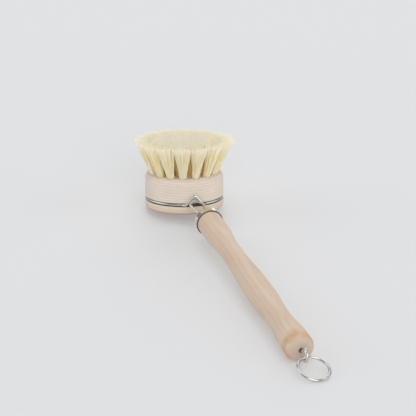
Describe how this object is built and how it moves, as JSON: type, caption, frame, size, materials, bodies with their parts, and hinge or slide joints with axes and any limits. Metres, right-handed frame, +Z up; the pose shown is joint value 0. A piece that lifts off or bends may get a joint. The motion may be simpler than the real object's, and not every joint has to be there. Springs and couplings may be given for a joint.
{
  "type": "dish brush",
  "caption": "Round bristle head with a turned back, held by a crossed spring wire in a turned wooden handle with a ferrule, a screw eye and a hanging ring.",
  "frame": {"origin": "the middle of the whole brush's bounding box, on the table that it lies on", "axes": "+X along the handle from the head to the hanging ring, +Z up, as the brush lies with its bristles up"},
  "size_m": [0.2814, 0.0654, 0.051],
  "materials": {
    "handle_wood": "raw beech, sanded",
    "head_wood": "raw beech, sanded",
    "ferrule_metal": "polished nickel",
    "clip_wire": "bright spring wire",
    "eye_wire": "bright wire",
    "ring_wire": "bright wire",
    "anchor_wire": "flat steel wire",
    "bristle": "cream plant fibre"
  },
  "bodies": {
    "handle": {"handle": "handle_wood", "ferrule": "ferrule_metal", "wire_clip": "clip_wire", "screw_eye": "eye_wire"},
    "head": {"head_block": "head_wood", "tuft_anchors": "anchor_wire", "tuft_centre_01": "bristle", "tuft_inner_01": "bristle", "tuft_inner_02": "bristle", "tuft_inner_03": "bristle", "tuft_inner_04": "bristle", "tuft_inner_05": "bristle", "tuft_inner_06": "bristle", "tuft_middle_01": "bristle", "tuft_middle_02": "bristle", "tuft_middle_03": "bristle", "tuft_middle_04": "bristle", "tuft_middle_05": "bristle", "tuft_middle_06": "bristle", "tuft_middle_07": "bristle", "tuft_middle_08": "bristle", "tuft_middle_09": "bristle", "tuft_middle_10": "bristle", "tuft_middle_11": "bristle", "tuft_outer_01": "bristle", "tuft_outer_02": "bristle", "tuft_outer_03": "bristle", "tuft_outer_04": "bristle", "tuft_outer_05": "bristle", "tuft_outer_06": "bristle", "tuft_outer_07": "bristle", "tuft_outer_08": "bristle", "tuft_outer_09": "bristle", "tuft_outer_10": "bristle", "tuft_outer_11": "bristle", "tuft_outer_12": "bristle", "tuft_outer_13": "bristle", "tuft_outer_14": "bristle", "tuft_outer_15": "bristle", "tuft_outer_16": "bristle"},
    "hanging_ring": {"hanging_ring": "ring_wire"}
  },
  "joints": [
    {"name": "head_spin", "type": "hinge", "parent": "handle", "child": "head", "pos_m": [-0.10179, 0, 0.00356], "axis": [-0.1525, 0, 0.9883], "continuous": true},
    {"name": "ring_swing", "type": "hinge", "parent": "handle", "child": "hanging_ring", "pos_m": [0.12288, 0, 0.00684], "axis": [0.2924, -0.9563, 0], "range_deg": [-118, 140]}
  ]
}
